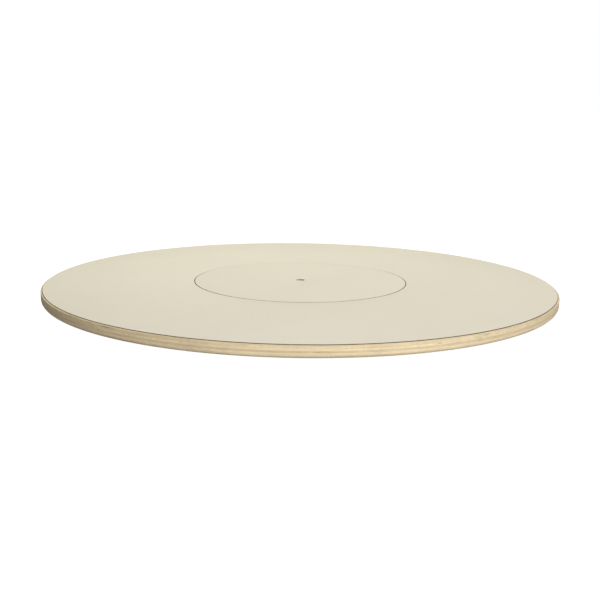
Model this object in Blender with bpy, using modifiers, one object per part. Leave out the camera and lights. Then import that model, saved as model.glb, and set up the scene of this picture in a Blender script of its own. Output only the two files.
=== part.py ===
"""Lazy susan turntable, 36 inches across, for Blender 4.5.

A ring of laminated plywood turns on a ball swivel around a centre disc that stands still on the
base. Metres, +Z up. The origin is on the surface that the feet stand on, on the turning axis.
"""

import math

import bmesh
import bpy
from mathutils import Matrix

# ---- Driving dimensions --------------------------------------------------------------------------

# Pieces that rest on each other are kept this far apart, and glued sheets half as far.
GAP = 0.0003
GLUE_LINE = 0.00015
# A cutter reaches this far out of the surface that it starts from.
PAST = 0.001

RIM_RADIUS = 0.4572
SEAM_RADIUS = 0.19185
SEAM_WIDTH = 0.0015
CENTRE_HOLE_RADIUS = 0.008
# The disc that stands still sits this much above the ring, so the ring never rubs what is on it.
CENTRE_RISE = 0.0002

LAMINATE_THICKNESS = 0.001
CORE_THICKNESS = 0.018
BACKER_THICKNESS = 0.0006
LAMINATE_BEVEL_INSET = 0.0034
CORE_TOP_ROUND = 0.00225
RIM_BOTTOM_ROUND = 0.006
SEAM_ARRIS = 0.0004

FOOT_COUNT = 6
FOOT_HEIGHT = 0.008
FOOT_RADIUS = 0.0125
FOOT_SOLE_RADIUS = 0.0113
FOOT_WELL_RADIUS = 0.0052
FOOT_WELL_DEPTH = 0.004
FOOT_ORBIT = 0.235
FOOT_ANGLE = math.radians(30)

BASE_RADIUS = 0.260
BASE_THICKNESS = 0.012
BASE_EDGE_EASE = 0.001
ACCESS_HOLE_RADIUS = 0.0125
SPACER_RADIUS = 0.150

SWIVEL_RING_THICKNESS = 0.012
SWIVEL_HEIGHT = 0.015
SWIVEL_BORE_RADIUS = 0.215
SWIVEL_OUTER_RADIUS = 0.250
RACE_RADIUS = 0.2325
RACE_GAP = 0.0026
GROOVE_DEPTH = 0.0033
GROOVE_MOUTH_HALF = 0.0034
GROOVE_FLOOR_HALF = 0.0014

BALL_COUNT = 20
BALL_RADIUS = 0.003
CAGE_THICKNESS = 0.0014
CAGE_HEIGHT = 0.0092
CAGE_POCKET_RADIUS = 0.0034

SWIVEL_SCREW_COUNT = 6
SWIVEL_SCREW_RADIUS = 0.0019
SWIVEL_SCREW_HEAD_RADIUS = 0.0038
SWIVEL_SCREW_LENGTH = 0.019
BASE_RING_SCREW_ORBIT = 0.243
TURNTABLE_SCREW_ORBIT = 0.2215
TURNTABLE_SCREW_ANGLE = math.radians(15)

FOOT_SCREW_HEAD_HEIGHT = 0.0022
FOOT_SCREW_LENGTH = 0.013

CENTRE_SCREW_COUNT = 4
CENTRE_SCREW_RADIUS = 0.00225
CENTRE_SCREW_HEAD_RADIUS = 0.0044
CENTRE_SCREW_LENGTH = 0.038
CENTRE_SCREW_ORBIT = 0.110
CENTRE_SCREW_ANGLE = math.radians(45)

SCREW_POINT_LENGTH = 0.003

BOARD_STEPS = 80
SPACER_STEPS = 48
WIDE_HOLE_STEPS = 24
HOLE_STEPS = 10
FOOT_STEPS = 16
SCREW_STEPS = 10
ARC_STEPS = 2

# ---- Heights, from the table up ------------------------------------------------------------------

BASE_BOTTOM = FOOT_HEIGHT + GAP
BASE_TOP = BASE_BOTTOM + BASE_THICKNESS
SWIVEL_BOTTOM = BASE_TOP + GAP
OUTER_RING_TOP = SWIVEL_BOTTOM + SWIVEL_RING_THICKNESS
SWIVEL_TOP = SWIVEL_BOTTOM + SWIVEL_HEIGHT
INNER_RING_BOTTOM = SWIVEL_TOP - SWIVEL_RING_THICKNESS
RACE_HEIGHT = (SWIVEL_BOTTOM + SWIVEL_TOP) / 2
BOARD_BOTTOM = SWIVEL_TOP + GAP
CORE_BOTTOM = BOARD_BOTTOM + BACKER_THICKNESS + GLUE_LINE
CORE_TOP = CORE_BOTTOM + CORE_THICKNESS
LAMINATE_BOTTOM = CORE_TOP + GLUE_LINE
BOARD_TOP = LAMINATE_BOTTOM + LAMINATE_THICKNESS

CENTRE_RADIUS = SEAM_RADIUS - SEAM_WIDTH / 2
RING_BORE_RADIUS = SEAM_RADIUS + SEAM_WIDTH / 2


# ---- Helpers -------------------------------------------------------------------------------------


def clear_scene():
    for obj in list(bpy.data.objects):
        bpy.data.objects.remove(obj)


def new_collection(name):
    collection = bpy.data.collections.new(name)
    bpy.context.scene.collection.children.link(collection)
    return collection


def new_material(name, colour, roughness, metallic=0.0):
    material = bpy.data.materials.new(name)
    material.use_nodes = True
    shader = material.node_tree.nodes["Principled BSDF"]
    shader.inputs["Base Color"].default_value = (*colour, 1)
    shader.inputs["Roughness"].default_value = roughness
    shader.inputs["Metallic"].default_value = metallic
    return material


def new_body(name):
    """An empty on the turning axis, which the pieces of one moving body hang from."""
    body = bpy.data.objects.new(name, None)
    PARTS.objects.link(body)
    return body


def new_piece(name, mesh, body, material, place=Matrix()):
    piece = bpy.data.objects.new(name, mesh)
    PARTS.objects.link(piece)
    piece.parent = body
    piece.matrix_local = place
    if not mesh.materials:
        mesh.materials.append(material)
    return piece


def profile_mesh(name, points, closed=True):
    """A line of (radius, height) points that runs down on its outer side."""
    count = len(points)
    edges = [(i, i + 1) for i in range(count - 1)]
    if closed:
        edges.append((count - 1, 0))
    mesh = bpy.data.meshes.new(name)
    mesh.from_pydata([(radius, 0, height) for radius, height in points], edges, [])
    return mesh


def turn(piece, steps):
    """Turns a piece's profile about its own Z axis."""
    screw = piece.modifiers.new("turn", "SCREW")
    screw.steps = screw.render_steps = steps
    screw.use_merge_vertices = True
    screw.merge_threshold = 0.00001
    screw.use_smooth_shade = True


def turned(name, points, body, material):
    """A ring whose closed profile's heights are counted from the table."""
    piece = new_piece(name, profile_mesh(name, points), body, material)
    turn(piece, BOARD_STEPS)
    return piece


def band(inner, outer, bottom, top):
    """The profile of a flat ring with square edges."""
    return [(outer, top), (outer, bottom), (inner, bottom), (inner, top)]


def disc(name, points, body, material, steps=BOARD_STEPS):
    """A solid disc, whose open profile starts and ends on the axis."""
    mesh = profile_mesh(name, points, closed=False)
    piece = new_piece(name, mesh, body, material)
    turn(piece, steps)
    return piece


def around(count, orbit, height, start=0.0):
    """Evenly spaced places on a circle, each turned so that its X axis points outwards."""
    places = []
    for index in range(count):
        angle = start + math.tau * index / count
        places.append(Matrix.Rotation(angle, 4, "Z") @ Matrix.Translation((orbit, 0, height)))
    return places


def drill(piece, name, places, radius, depth, top_radius=None, steps=HOLE_STEPS, sideways=False):
    """Cuts a hole at each place. It runs up from the place, or lies across it when sideways."""
    aim = Matrix.Translation((0, 0, depth / 2))
    if sideways:
        aim = Matrix.Rotation(math.pi / 2, 4, "Y")
    shape = bmesh.new()
    for place in places:
        bmesh.ops.create_cone(
            shape,
            cap_ends=True,
            segments=steps,
            radius1=radius,
            radius2=radius if top_radius is None else top_radius,
            depth=depth,
            matrix=place @ aim,
        )
    mesh = bpy.data.meshes.new(name)
    shape.to_mesh(mesh)
    shape.free()
    cutter = bpy.data.objects.new(name, mesh)
    CUTTERS.objects.link(cutter)
    cutter.hide_render = True
    cutter.display_type = "WIRE"
    cut = piece.modifiers.new(name, "BOOLEAN")
    cut.operation = "DIFFERENCE"
    cut.object = cutter


def sink_mouth(head_radius):
    """A 45 degree countersink's radius where its cutter starts, just outside the surface."""
    return head_radius + 2 * GAP + PAST


# ---- The board: ring and centre disc -------------------------------------------------------------


def bottom_round_radius(height):
    """The rim's radius in its lower round-over, at a height above the table."""
    below = RIM_BOTTOM_ROUND - (height - BOARD_BOTTOM)
    reach = math.sqrt(RIM_BOTTOM_ROUND**2 - below**2)
    return RIM_RADIUS - RIM_BOTTOM_ROUND + reach


def core_rim():
    """The plywood's edge from top to bottom: an eased top, a straight side and a round-over."""
    points = []
    for step in range(ARC_STEPS + 1):
        angle = math.pi / 2 * (1 - step / ARC_STEPS)
        radius = RIM_RADIUS - CORE_TOP_ROUND * (1 - math.cos(angle))
        points.append((radius, CORE_TOP - CORE_TOP_ROUND * (1 - math.sin(angle))))
    straight_end = BOARD_BOTTOM + RIM_BOTTOM_ROUND
    for step in range(ARC_STEPS + 1):
        height = straight_end + (CORE_BOTTOM - straight_end) * step / ARC_STEPS
        points.append((bottom_round_radius(height), height))
    return points


def make_turntable(body):
    core = turned(
        "turntable_core",
        [*core_rim(), (RING_BORE_RADIUS, CORE_BOTTOM), (RING_BORE_RADIUS, CORE_TOP)],
        body,
        PLYWOOD,
    )
    top_edge = RIM_RADIUS - LAMINATE_BEVEL_INSET
    turned(
        "turntable_laminate",
        [
            (top_edge, BOARD_TOP),
            (top_edge + LAMINATE_THICKNESS, LAMINATE_BOTTOM),
            (RING_BORE_RADIUS, LAMINATE_BOTTOM),
            (RING_BORE_RADIUS, BOARD_TOP - SEAM_ARRIS),
            (RING_BORE_RADIUS + SEAM_ARRIS, BOARD_TOP),
        ],
        body,
        LAMINATE,
    )
    backer_top = BOARD_BOTTOM + BACKER_THICKNESS
    backer = turned(
        "turntable_backer",
        [
            (bottom_round_radius(backer_top), backer_top),
            (bottom_round_radius(BOARD_BOTTOM), BOARD_BOTTOM),
            (RING_BORE_RADIUS, BOARD_BOTTOM),
            (RING_BORE_RADIUS, backer_top),
        ],
        body,
        BACKER,
    )
    head = INNER_RING_BOTTOM + GAP
    depth = head + SWIVEL_SCREW_LENGTH + PAST - (BOARD_BOTTOM - PAST)
    places = around(
        SWIVEL_SCREW_COUNT, TURNTABLE_SCREW_ORBIT, BOARD_BOTTOM - PAST, TURNTABLE_SCREW_ANGLE
    )
    for sheet in (backer, core):
        drill(sheet, f"{sheet.name}_pilots", places, SWIVEL_SCREW_RADIUS + GAP, depth)


def plain_disc(radius, bottom, top):
    """The open profile of a solid disc with square edges."""
    return [(0, top), (radius, top), (radius, bottom), (0, bottom)]


def make_centre(body):
    bottom = BOARD_BOTTOM + CENTRE_RISE
    top = BOARD_TOP + CENTRE_RISE
    core_profile = plain_disc(CENTRE_RADIUS, CORE_BOTTOM + CENTRE_RISE, CORE_TOP + CENTRE_RISE)
    core = disc("centre_core", core_profile, body, PLYWOOD)
    laminate = disc(
        "centre_laminate",
        [
            (0, top),
            (CENTRE_RADIUS - SEAM_ARRIS, top),
            (CENTRE_RADIUS, top - SEAM_ARRIS),
            (CENTRE_RADIUS, LAMINATE_BOTTOM + CENTRE_RISE),
            (0, LAMINATE_BOTTOM + CENTRE_RISE),
        ],
        body,
        LAMINATE,
    )
    backer_profile = plain_disc(CENTRE_RADIUS, bottom, bottom + BACKER_THICKNESS)
    backer = disc("centre_backer", backer_profile, body, BACKER)
    pivot = [Matrix.Translation((0, 0, bottom - PAST))]
    pivot_depth = top - bottom + 2 * PAST
    for sheet in (core, laminate, backer):
        name = f"{sheet.name}_pivot_hole"
        drill(sheet, name, pivot, CENTRE_HOLE_RADIUS, pivot_depth, steps=WIDE_HOLE_STEPS)

    spacer_profile = plain_disc(SPACER_RADIUS, SWIVEL_BOTTOM, SWIVEL_TOP + CENTRE_RISE)
    spacer = disc("centre_spacer", spacer_profile, body, PLYWOOD, SPACER_STEPS)
    depth = GAP + CENTRE_SCREW_LENGTH + 2 * PAST
    places = around(
        CENTRE_SCREW_COUNT, CENTRE_SCREW_ORBIT, BASE_BOTTOM - PAST, CENTRE_SCREW_ANGLE
    )
    for board in (spacer, backer, core):
        drill(board, f"{board.name}_pilots", places, CENTRE_SCREW_RADIUS + GAP, depth)


# ---- The swivel ----------------------------------------------------------------------------------


def groove(side):
    """A race's ball groove, from top to bottom. side is -1 in the inner ring and 1 in the outer."""
    mouth = RACE_RADIUS + side * RACE_GAP / 2
    floor = RACE_RADIUS + side * GROOVE_DEPTH
    return [
        (mouth, RACE_HEIGHT + GROOVE_MOUTH_HALF),
        (floor, RACE_HEIGHT + GROOVE_FLOOR_HALF),
        (floor, RACE_HEIGHT - GROOVE_FLOOR_HALF),
        (mouth, RACE_HEIGHT - GROOVE_MOUTH_HALF),
    ]


def make_swivel_rings(base, turntable):
    inner_face = RACE_RADIUS - RACE_GAP / 2
    outer_face = RACE_RADIUS + RACE_GAP / 2
    inner = turned(
        "swivel_inner_ring",
        [
            (inner_face, SWIVEL_TOP),
            *groove(-1),
            (inner_face, INNER_RING_BOTTOM),
            (SWIVEL_BORE_RADIUS, INNER_RING_BOTTOM),
            (SWIVEL_BORE_RADIUS, SWIVEL_TOP),
        ],
        turntable,
        ALUMINIUM,
    )
    outer = turned(
        "swivel_outer_ring",
        [
            (SWIVEL_OUTER_RADIUS, OUTER_RING_TOP),
            (SWIVEL_OUTER_RADIUS, SWIVEL_BOTTOM),
            (outer_face, SWIVEL_BOTTOM),
            *reversed(groove(1)),
            (outer_face, OUTER_RING_TOP),
        ],
        base,
        ALUMINIUM,
    )
    bore = SWIVEL_SCREW_RADIUS + GAP
    mouth = sink_mouth(SWIVEL_SCREW_HEAD_RADIUS)
    depth = mouth - bore
    through = SWIVEL_RING_THICKNESS + 2 * PAST

    low = around(
        SWIVEL_SCREW_COUNT, TURNTABLE_SCREW_ORBIT, INNER_RING_BOTTOM - PAST, TURNTABLE_SCREW_ANGLE
    )
    drill(inner, "inner_ring_holes", low, bore, through)
    drill(inner, "inner_ring_sinks", low, mouth, depth, top_radius=bore)

    bottom = around(SWIVEL_SCREW_COUNT, BASE_RING_SCREW_ORBIT, SWIVEL_BOTTOM - PAST)
    drill(outer, "outer_ring_holes", bottom, bore, through)
    top = around(SWIVEL_SCREW_COUNT, BASE_RING_SCREW_ORBIT, OUTER_RING_TOP + PAST - depth)
    drill(outer, "outer_ring_sinks", top, bore, depth, top_radius=mouth)


def make_cage(body):
    low = RACE_HEIGHT - CAGE_HEIGHT / 2
    inner = RACE_RADIUS - CAGE_THICKNESS / 2
    strip = band(inner, inner + CAGE_THICKNESS, low, low + CAGE_HEIGHT)
    cage = turned("ball_cage", strip, body, NYLON)
    places = around(BALL_COUNT, RACE_RADIUS, RACE_HEIGHT)
    depth = 4 * CAGE_THICKNESS
    drill(cage, "ball_pockets", places, CAGE_POCKET_RADIUS, depth, sideways=True)

    sphere = bmesh.new()
    bmesh.ops.create_icosphere(sphere, subdivisions=2, radius=BALL_RADIUS)
    mesh = bpy.data.meshes.new("bearing_ball")
    sphere.to_mesh(mesh)
    sphere.free()
    mesh.shade_smooth()
    for number, place in enumerate(places, 1):
        new_piece(f"bearing_ball_{number:02d}", mesh, body, BALL_STEEL, place)


# ---- Screws and feet -----------------------------------------------------------------------------


def countersunk(radius, head_radius, length):
    """A wood screw's profile, point down, with the flat of its head at height 0."""
    return [
        (0, 0),
        (head_radius, 0),
        (radius, radius - head_radius),
        (radius, SCREW_POINT_LENGTH - length),
        (0, -length),
    ]


def pan_head(radius, head_radius, length):
    """A wood screw's profile, point down, with the underside of its head at height 0."""
    return [
        (0, FOOT_SCREW_HEAD_HEIGHT),
        (head_radius, FOOT_SCREW_HEAD_HEIGHT / 2),
        (head_radius, 0),
        (radius, 0),
        (radius, SCREW_POINT_LENGTH - length),
        (0, -length),
    ]


def drive(name, profile, places, body, upwards):
    mesh = profile_mesh(name, profile, closed=False)
    flip = Matrix.Rotation(math.pi, 4, "X") if upwards else Matrix()
    for number, place in enumerate(places, 1):
        screw = new_piece(f"{name}_{number}", mesh, body, ZINC, place @ flip)
        turn(screw, SCREW_STEPS)


def make_screws(base, turntable):
    swivel_screw = countersunk(SWIVEL_SCREW_RADIUS, SWIVEL_SCREW_HEAD_RADIUS, SWIVEL_SCREW_LENGTH)
    down = around(SWIVEL_SCREW_COUNT, BASE_RING_SCREW_ORBIT, OUTER_RING_TOP - GAP)
    drive("base_ring_screw", swivel_screw, down, base, upwards=False)

    up = around(
        SWIVEL_SCREW_COUNT, TURNTABLE_SCREW_ORBIT, INNER_RING_BOTTOM + GAP, TURNTABLE_SCREW_ANGLE
    )
    drive("turntable_screw", swivel_screw, up, turntable, upwards=True)

    centre_screw = countersunk(CENTRE_SCREW_RADIUS, CENTRE_SCREW_HEAD_RADIUS, CENTRE_SCREW_LENGTH)
    under = around(CENTRE_SCREW_COUNT, CENTRE_SCREW_ORBIT, BASE_BOTTOM + GAP, CENTRE_SCREW_ANGLE)
    drive("centre_screw", centre_screw, under, base, upwards=True)

    foot_screw = pan_head(SWIVEL_SCREW_RADIUS, SWIVEL_SCREW_HEAD_RADIUS, FOOT_SCREW_LENGTH)
    wells = around(FOOT_COUNT, FOOT_ORBIT, FOOT_WELL_DEPTH - GAP, FOOT_ANGLE)
    drive("foot_screw", foot_screw, wells, base, upwards=True)


def make_feet(body):
    bore = SWIVEL_SCREW_RADIUS + GAP
    profile = [
        (FOOT_RADIUS, FOOT_HEIGHT),
        (FOOT_SOLE_RADIUS, 0),
        (FOOT_WELL_RADIUS, 0),
        (FOOT_WELL_RADIUS, FOOT_WELL_DEPTH),
        (bore, FOOT_WELL_DEPTH),
        (bore, FOOT_HEIGHT),
    ]
    mesh = profile_mesh("foot", profile)
    for number, place in enumerate(around(FOOT_COUNT, FOOT_ORBIT, 0, FOOT_ANGLE), 1):
        foot = new_piece(f"foot_{number}", mesh, body, RUBBER, place)
        turn(foot, FOOT_STEPS)


# ---- The base ------------------------------------------------------------------------------------


def make_base(body):
    plate = disc(
        "base_plate",
        [
            (0, BASE_TOP),
            (BASE_RADIUS - BASE_EDGE_EASE, BASE_TOP),
            (BASE_RADIUS, BASE_TOP - BASE_EDGE_EASE),
            (BASE_RADIUS, BASE_BOTTOM + BASE_EDGE_EASE),
            (BASE_RADIUS - BASE_EDGE_EASE, BASE_BOTTOM),
            (0, BASE_BOTTOM),
        ],
        body,
        PLYWOOD,
        BOARD_STEPS,
    )
    start = BASE_BOTTOM - PAST
    through = BASE_THICKNESS + 2 * PAST
    access = around(1, TURNTABLE_SCREW_ORBIT, start, TURNTABLE_SCREW_ANGLE)
    drill(plate, "access_hole", access, ACCESS_HOLE_RADIUS, through, steps=WIDE_HOLE_STEPS)

    centre = around(CENTRE_SCREW_COUNT, CENTRE_SCREW_ORBIT, start, CENTRE_SCREW_ANGLE)
    bore = CENTRE_SCREW_RADIUS + GAP
    mouth = sink_mouth(CENTRE_SCREW_HEAD_RADIUS)
    drill(plate, "centre_screw_holes", centre, bore, through)
    drill(plate, "centre_screw_sinks", centre, mouth, mouth - bore, top_radius=bore)

    pilot = SWIVEL_SCREW_RADIUS + GAP
    ring_tip = OUTER_RING_TOP - GAP - SWIVEL_SCREW_LENGTH
    ring = around(SWIVEL_SCREW_COUNT, BASE_RING_SCREW_ORBIT, ring_tip - PAST)
    drill(plate, "base_ring_screw_pilots", ring, pilot, BASE_TOP + 2 * PAST - ring_tip)

    foot_tip = FOOT_WELL_DEPTH - GAP + FOOT_SCREW_LENGTH
    feet = around(FOOT_COUNT, FOOT_ORBIT, start, FOOT_ANGLE)
    drill(plate, "foot_screw_pilots", feet, pilot, foot_tip + PAST - start)


# ---- The whole turntable -------------------------------------------------------------------------

clear_scene()
PARTS = new_collection("lazy_susan_turntable")
CUTTERS = new_collection("cutters")

PLYWOOD = new_material("plywood", (0.76, 0.64, 0.44), 0.6)
LAMINATE = new_material("laminate", (0.74, 0.69, 0.56), 0.4)
BACKER = new_material("backer", (0.30, 0.22, 0.15), 0.6)
ALUMINIUM = new_material("aluminium", (0.75, 0.76, 0.77), 0.35, 1.0)
BALL_STEEL = new_material("ball_steel", (0.70, 0.70, 0.70), 0.12, 1.0)
ZINC = new_material("zinc_plated_steel", (0.62, 0.62, 0.58), 0.35, 1.0)
NYLON = new_material("nylon", (0.85, 0.84, 0.78), 0.5)
RUBBER = new_material("rubber", (0.03, 0.03, 0.03), 0.8)

BASE = new_body("base")
TURNTABLE = new_body("turntable")
CAGE = new_body("cage")

make_base(BASE)
make_feet(BASE)
make_centre(BASE)
make_swivel_rings(BASE, TURNTABLE)
make_screws(BASE, TURNTABLE)
make_cage(CAGE)
make_turntable(TURNTABLE)
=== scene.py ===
# %% [markdown]
# # A 36 inch lazy susan, a piece at a time
# A ring of laminated plywood turns on a ball swivel round a centre disc that stands still. The
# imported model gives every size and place. This script makes the fine surfaces that go on it.

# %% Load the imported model
import math

import bmesh
import bpy
from mathutils import Matrix, Vector


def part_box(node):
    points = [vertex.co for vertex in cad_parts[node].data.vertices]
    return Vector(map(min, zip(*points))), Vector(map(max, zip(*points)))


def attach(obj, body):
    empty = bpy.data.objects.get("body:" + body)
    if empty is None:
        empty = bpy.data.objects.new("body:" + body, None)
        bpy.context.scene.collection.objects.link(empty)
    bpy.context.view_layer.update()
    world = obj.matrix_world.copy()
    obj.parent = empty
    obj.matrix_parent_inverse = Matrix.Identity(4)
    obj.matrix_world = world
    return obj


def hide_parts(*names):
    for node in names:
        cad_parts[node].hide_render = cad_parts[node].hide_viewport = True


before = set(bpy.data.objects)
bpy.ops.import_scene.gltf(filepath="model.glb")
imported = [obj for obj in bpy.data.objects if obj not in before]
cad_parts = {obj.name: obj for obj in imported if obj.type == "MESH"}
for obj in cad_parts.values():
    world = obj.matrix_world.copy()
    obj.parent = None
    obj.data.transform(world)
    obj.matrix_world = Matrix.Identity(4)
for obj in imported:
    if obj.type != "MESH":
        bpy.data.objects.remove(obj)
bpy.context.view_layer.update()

MM = 0.001


# %% [markdown]
# ## Measuring the model
# Every sheet and ring here is round, so a node is described by how near and how far it reaches
# from the turning axis, and by its lowest and highest points. Reading those from the model, rather
# than typing them again, keeps the fine surface on the plain one.

# %% Read radii and heights
def radii(node):
    """The nearest and farthest that a node's corners lie from the turning axis."""
    reach = [v.co.to_2d().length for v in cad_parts[node].data.vertices]
    return min(reach), max(reach)


def heights(node):
    """A node's lowest and highest points."""
    low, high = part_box(node)
    return low.z, high.z


RING_BORE, RIM = radii("turntable_core")
PIVOT_HOLE, DISC_EDGE = radii("centre_laminate")
CORE_LOW, CORE_HIGH = heights("turntable_core")
LAMINATE_LOW, BOARD_TOP = heights("turntable_laminate")
BOARD_LOW, BACKER_TOP = heights("turntable_backer")
DISC_CORE_LOW, DISC_CORE_HIGH = heights("centre_core")
DISC_LAMINATE_LOW, DISC_TOP = heights("centre_laminate")
print(f"board {2 * RIM:.4f} m across, {(BOARD_TOP - BOARD_LOW) / MM:.1f} mm thick")
print(f"running gap {(RING_BORE - DISC_EDGE) / MM:.2f} mm, pivot hole {2 * PIVOT_HOLE / MM:.1f} mm")
print(f"the still disc stands {(DISC_TOP - BOARD_TOP) / MM:.2f} mm above the ring")


# %% [markdown]
# ## Node helpers
# Shader trees and Geometry Nodes trees are wired alike, so one small function adds a node, gives
# it its settings and feeds its inputs, either with a plain value or with another node's output.

# %% Wire nodes
def wire(tree, kind, feeds=None, **settings):
    """Adds a node. feeds maps an input's name or place to a value or to an output socket."""
    made = tree.nodes.new(kind)
    for key, value in settings.items():
        setattr(made, key, value)
    for place, value in (feeds or {}).items():
        if isinstance(place, int):
            socket = made.inputs[place]
        else:
            socket = next(s for s in made.inputs if s.name == place and s.enabled)
        if isinstance(value, bpy.types.NodeSocket):
            tree.links.new(value, socket)
        else:
            socket.default_value = value
    return made


def calc(tree, operation, *values, clamp=False):
    """A Math node's result."""
    feeds = dict(enumerate(values))
    return wire(tree, "ShaderNodeMath", feeds, operation=operation, use_clamp=clamp).outputs[0]


# %% [markdown]
# ## Turning a profile
# Boards cut on a router table and rings cut on a lathe share one rule: a profile swept round an
# axis. A Screw modifier could do it, but a Geometry Nodes tree can also cut a thread as it turns.
# A grid has one column of points for each step round the circle, and each point looks up its own
# radius and height on the profile. A thread then takes a little off the radius, along a helix.

# %% Build the lathe tree
def new_tree(name, inputs):
    """A Geometry Nodes tree with geometry in and out, and the inputs named."""
    tree = bpy.data.node_groups.new(name, "GeometryNodeTree")
    face = tree.interface
    face.new_socket("Geometry", in_out="INPUT", socket_type="NodeSocketGeometry")
    for label, kind in inputs.items():
        face.new_socket(label, in_out="INPUT", socket_type=f"NodeSocket{kind}")
    face.new_socket("Geometry", in_out="OUTPUT", socket_type="NodeSocketGeometry")
    return tree


def end_tree(tree, shape, material):
    """Ends a tree as plain faces in one material."""
    real = wire(tree, "GeometryNodeRealizeInstances", {"Geometry": shape}).outputs[0]
    painted = wire(tree, "GeometryNodeSetMaterial", {"Geometry": real, "Material": material})
    wire(tree, "NodeGroupOutput", {0: painted.outputs[0]})


def lathe_tree():
    inputs = {"Steps": "Int", "Pitch": "Float", "Material": "Material"}
    tree = new_tree("lathe", inputs)
    given = tree.nodes.new("NodeGroupInput").outputs
    profile = given["Geometry"]
    count = wire(tree, "GeometryNodeAttributeDomainSize", {"Geometry": profile}).outputs[0]
    columns = calc(tree, "ADD", given["Steps"], 1)
    feeds = {"Vertices X": columns, "Vertices Y": count}
    grid = wire(tree, "GeometryNodeMeshGrid", feeds).outputs["Mesh"]

    index = wire(tree, "GeometryNodeInputIndex").outputs[0]
    column = calc(tree, "FLOOR", calc(tree, "DIVIDE", calc(tree, "ADD", index, 0.5), count))
    row = calc(tree, "SUBTRACT", index, calc(tree, "MULTIPLY", column, count))
    turn = calc(tree, "DIVIDE", column, given["Steps"])
    angle = calc(tree, "MULTIPLY", turn, math.tau)

    place = wire(tree, "GeometryNodeInputPosition").outputs[0]
    feeds = {"Geometry": profile, "Value": place, "Index": row}
    sampled = wire(tree, "GeometryNodeSampleIndex", feeds, data_type="FLOAT_VECTOR").outputs[0]
    point = wire(tree, "ShaderNodeSeparateXYZ", {0: sampled}).outputs

    cut = wire(tree, "GeometryNodeInputNamedAttribute", {"Name": "thread"}).outputs[0]
    feeds = {"Geometry": profile, "Value": cut, "Index": row}
    depth = wire(tree, "GeometryNodeSampleIndex", feeds, data_type="FLOAT").outputs[0]
    helix = calc(tree, "ADD", calc(tree, "DIVIDE", point["Z"], given["Pitch"]), turn)
    groove = calc(tree, "MULTIPLY", calc(tree, "PINGPONG", helix, 0.5), 2)
    radius = calc(tree, "SUBTRACT", point["X"], calc(tree, "MULTIPLY", groove, depth))

    feeds = {
        "X": calc(tree, "MULTIPLY", radius, calc(tree, "COSINE", angle)),
        "Y": calc(tree, "MULTIPLY", radius, calc(tree, "SINE", angle)),
        "Z": point["Z"],
    }
    turned_to = wire(tree, "ShaderNodeCombineXYZ", feeds).outputs[0]
    feeds = {"Geometry": grid, "Position": turned_to}
    swept = wire(tree, "GeometryNodeSetPosition", feeds).outputs[0]
    feeds = {"Geometry": swept, "Distance": MM / 1000}
    closed = wire(tree, "GeometryNodeMergeByDistance", feeds).outputs[0]
    outward = wire(tree, "GeometryNodeFlipFaces", {"Mesh": closed}).outputs[0]
    end_tree(tree, outward, given["Material"])
    return tree


LATHE = lathe_tree()
print("lathe tree has", len(LATHE.nodes), "nodes")


# %% [markdown]
# ## Setting out on a circle
# Screws, feet and balls are all spaced evenly on a circle, as a maker sets them out with a pair
# of dividers. The tree puts a point at each place, stands one finished piece on each, and then
# makes the copies real, because an export keeps faces and drops instances.

# %% Build the circle tree
def circle_tree():
    inputs = {
        "Count": "Int", "Orbit": "Float", "Height": "Float", "First Angle": "Float",
        "Material": "Material",
    }
    tree = new_tree("set_out_on_circle", inputs)
    given = tree.nodes.new("NodeGroupInput").outputs
    points = wire(tree, "GeometryNodePoints", {"Count": given["Count"]}).outputs[0]
    index = wire(tree, "GeometryNodeInputIndex").outputs[0]
    share = calc(tree, "DIVIDE", index, given["Count"])
    angle = calc(tree, "ADD", calc(tree, "MULTIPLY", share, math.tau), given["First Angle"])
    feeds = {
        "X": calc(tree, "MULTIPLY", given["Orbit"], calc(tree, "COSINE", angle)),
        "Y": calc(tree, "MULTIPLY", given["Orbit"], calc(tree, "SINE", angle)),
        "Z": given["Height"],
    }
    place = wire(tree, "ShaderNodeCombineXYZ", feeds).outputs[0]
    feeds = {"Geometry": points, "Position": place}
    spaced = wire(tree, "GeometryNodeSetPosition", feeds).outputs[0]
    facing = wire(tree, "ShaderNodeCombineXYZ", {"Z": angle}).outputs[0]
    feeds = {"Points": spaced, "Instance": given["Geometry"], "Rotation": facing}
    copies = wire(tree, "GeometryNodeInstanceOnPoints", feeds).outputs[0]
    end_tree(tree, copies, given["Material"])
    return tree


CIRCLE = circle_tree()
print("circle tree has", len(CIRCLE.nodes), "nodes")


# %% [markdown]
# ## From a tree to a plain mesh
# A modifier's inputs are set by the socket's identifier. The evaluated result is then copied to a
# plain mesh and the modifier goes, so that what is kept is only faces. Smooth shading with sharp
# edges wherever two faces meet steeply keeps each arris crisp.

# %% Run a tree
SHARP = math.radians(28)


def settle(piece):
    """Replaces a piece's mesh and modifiers by the plain mesh that they make, in one material."""
    graph = bpy.context.evaluated_depsgraph_get()
    mesh = bpy.data.meshes.new_from_object(piece.evaluated_get(graph))
    piece.data = mesh
    piece.modifiers.clear()
    material = next(m for m in mesh.materials if m)
    mesh.materials.clear()
    mesh.materials.append(material)
    mesh.polygons.foreach_set("material_index", [0] * len(mesh.polygons))
    mesh.shade_smooth()
    mesh.set_sharp_from_angle(angle=SHARP)
    return piece


def grow(piece, tree, values):
    """Runs a tree on a piece with these values, by the names of the tree's inputs."""
    modifier = piece.modifiers.new(tree.name, "NODES")
    modifier.node_group = tree
    for item in tree.interface.items_tree:
        if item.in_out == "INPUT" and item.name in values:
            modifier[item.identifier] = values[item.name]
    return settle(piece)


def new_piece(name, mesh):
    piece = bpy.data.objects.new(name, mesh)
    bpy.context.scene.collection.objects.link(piece)
    return piece


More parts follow.
